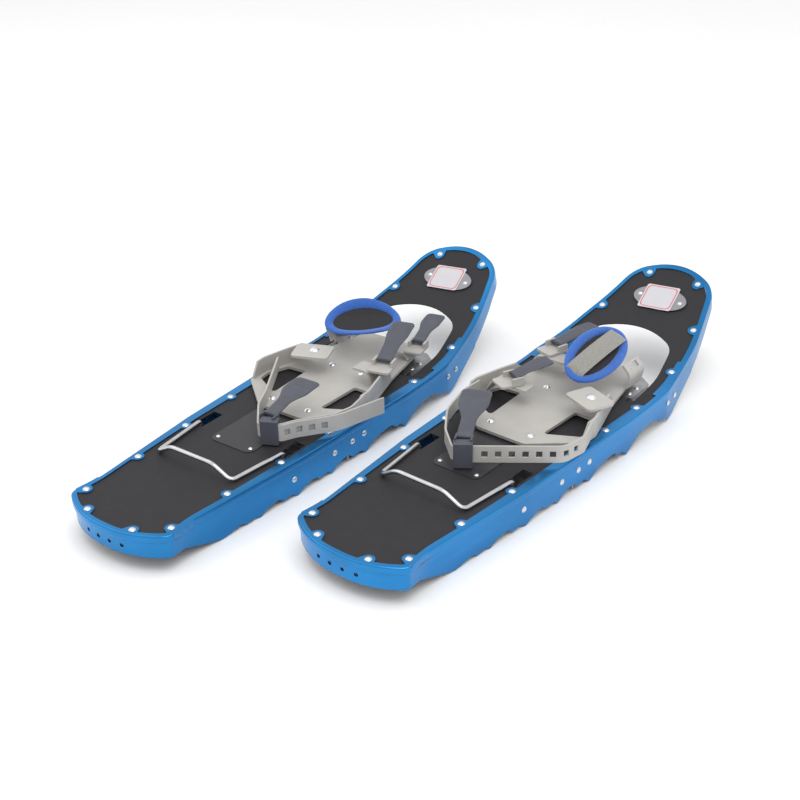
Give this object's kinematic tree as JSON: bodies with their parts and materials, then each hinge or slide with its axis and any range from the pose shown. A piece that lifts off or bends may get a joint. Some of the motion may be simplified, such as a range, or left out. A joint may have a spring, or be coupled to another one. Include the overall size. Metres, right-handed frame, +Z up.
{
  "type": "snowshoes",
  "caption": "Pair of mountain snowshoes: toothed frames, flat decks, pivoting strap bindings and flip-up heel bails.",
  "frame": {"origin": "centre of the pair's footprint, on the ground under the tooth tips", "axes": "+Y towards the toes, +Z up, +X to the wearer's right"},
  "size_m": [0.4858, 0.8754, 0.1343],
  "materials": {
    "anodised_blue": "satin anodised",
    "deck_sheet": "matte coated fabric",
    "rivet_silver": "polished",
    "badge_metal": "satin",
    "label_vinyl": "matte",
    "black_plastic": "matte",
    "steel": "brushed",
    "bail_steel": "polished wire",
    "aluminium": "satin",
    "cream_plastic": "matte moulded",
    "grey_plastic": "matte moulded",
    "pad_fabric": "mesh with blue rim",
    "webbing": "woven"
  },
  "bodies": {
    "right_shoe": {"right_frame": "anodised_blue", "right_tail_splice": "aluminium", "right_deck": "deck_sheet", "right_deck_rivets": "rivet_silver", "right_blade_rivets": "rivet_silver", "right_badge": "badge_metal", "right_badge_label": "label_vinyl", "right_small_rivets": "rivet_silver", "right_heel_wear_plate": "black_plastic", "right_heel_crossmembers": "steel", "right_pivot_brackets": "steel", "right_binding_axle": "steel", "right_axle_bushings": "black_plastic", "right_bail_brackets": "steel"},
    "right_binding": {"right_toe_crampon": "steel", "right_binding_base": "cream_plastic", "right_base_screws": "rivet_silver", "right_heel_strap": "cream_plastic", "right_heel_anchor_strap": "cream_plastic", "right_heel_loop": "grey_plastic", "right_forefoot_straps": "cream_plastic", "right_forefoot_buckles": "grey_plastic", "right_side_plate": "cream_plastic", "right_binding_rivets": "rivet_silver", "right_instep_pad": "pad_fabric", "right_instep_webbing": "webbing"},
    "right_bail": {"right_heel_lift_bail": "bail_steel"},
    "right_tongue": {"right_heel_tongue": "grey_plastic"},
    "right_rear_tab": {"right_rear_pull_tab": "grey_plastic"},
    "right_front_tab": {"right_front_pull_tab": "grey_plastic"},
    "left_shoe": {"left_frame": "anodised_blue", "left_tail_splice": "aluminium", "left_deck": "deck_sheet", "left_deck_rivets": "rivet_silver", "left_blade_rivets": "rivet_silver", "left_badge": "badge_metal", "left_badge_label": "label_vinyl", "left_small_rivets": "rivet_silver", "left_heel_wear_plate": "black_plastic", "left_heel_crossmembers": "steel", "left_pivot_brackets": "steel", "left_binding_axle": "steel", "left_axle_bushings": "black_plastic", "left_bail_brackets": "steel"},
    "left_binding": {"left_toe_crampon": "steel", "left_binding_base": "cream_plastic", "left_base_screws": "rivet_silver", "left_heel_strap": "cream_plastic", "left_heel_anchor_strap": "cream_plastic", "left_heel_loop": "grey_plastic", "left_forefoot_straps": "cream_plastic", "left_forefoot_buckles": "grey_plastic", "left_side_plate": "cream_plastic", "left_binding_rivets": "rivet_silver", "left_instep_pad": "pad_fabric", "left_instep_webbing": "webbing"},
    "left_bail": {"left_heel_lift_bail": "bail_steel"},
    "left_tongue": {"left_heel_tongue": "grey_plastic"},
    "left_rear_tab": {"left_rear_pull_tab": "grey_plastic"},
    "left_front_tab": {"left_front_pull_tab": "grey_plastic"}
  },
  "joints": [
    {"name": "shoes_apart", "type": "slide", "parent": "right_shoe", "child": "left_shoe", "axis": [-1, 0, 0], "range_m": [0, 0.3]},
    {"name": "right_binding_pivot", "type": "hinge", "parent": "right_shoe", "child": "right_binding", "pos_m": [0.13763, 0.1716, 0.041], "axis": [-0.9994, 0.0337, 0], "range_deg": [0, 80]},
    {"name": "right_bail_flip", "type": "hinge", "parent": "right_shoe", "child": "right_bail", "pos_m": [0.12857, -0.09725, 0.025], "axis": [-0.9994, 0.0337, 0], "range_deg": [0, 90]},
    {"name": "right_tongue_hinge", "type": "hinge", "parent": "right_binding", "child": "right_tongue", "pos_m": [0.12589, -0.08755, 0.0845], "axis": [0.9078, 0.4194, 0], "range_deg": [0, 60]},
    {"name": "right_rear_tab_hinge", "type": "hinge", "parent": "right_binding", "child": "right_rear_tab", "pos_m": [0.09415, 0.069, 0.0904], "axis": [0.8829, -0.4696, 0], "range_deg": [0, 60]},
    {"name": "right_front_tab_hinge", "type": "hinge", "parent": "right_binding", "child": "right_front_tab", "pos_m": [0.09186, 0.17914, 0.0924], "axis": [0.9554, -0.2955, 0], "range_deg": [0, 60]},
    {"name": "left_binding_pivot", "type": "hinge", "parent": "left_shoe", "child": "left_binding", "pos_m": [-0.13764, 0.0568, 0.041], "axis": [-0.9994, -0.0335, 0], "range_deg": [0, 80]},
    {"name": "left_bail_flip", "type": "hinge", "parent": "left_shoe", "child": "left_bail", "pos_m": [-0.12862, -0.21205, 0.025], "axis": [-0.9994, -0.0335, 0], "range_deg": [0, 90]},
    {"name": "left_tongue_hinge", "type": "hinge", "parent": "left_binding", "child": "left_tongue", "pos_m": [-0.09609, -0.18254, 0.0845], "axis": [0.997, 0.0779, 0], "range_deg": [0, 60]},
    {"name": "left_rear_tab_hinge", "type": "hinge", "parent": "left_binding", "child": "left_rear_tab", "pos_m": [-0.06793, 0.00711, 0.0904], "axis": [0.9597, 0.281, 0], "range_deg": [0, 60]},
    {"name": "left_front_tab_hinge", "type": "hinge", "parent": "left_binding", "child": "left_front_tab", "pos_m": [-0.08207, 0.10068, 0.077], "axis": [0.9688, 0.248, 0], "range_deg": [0, 60]}
  ]
}
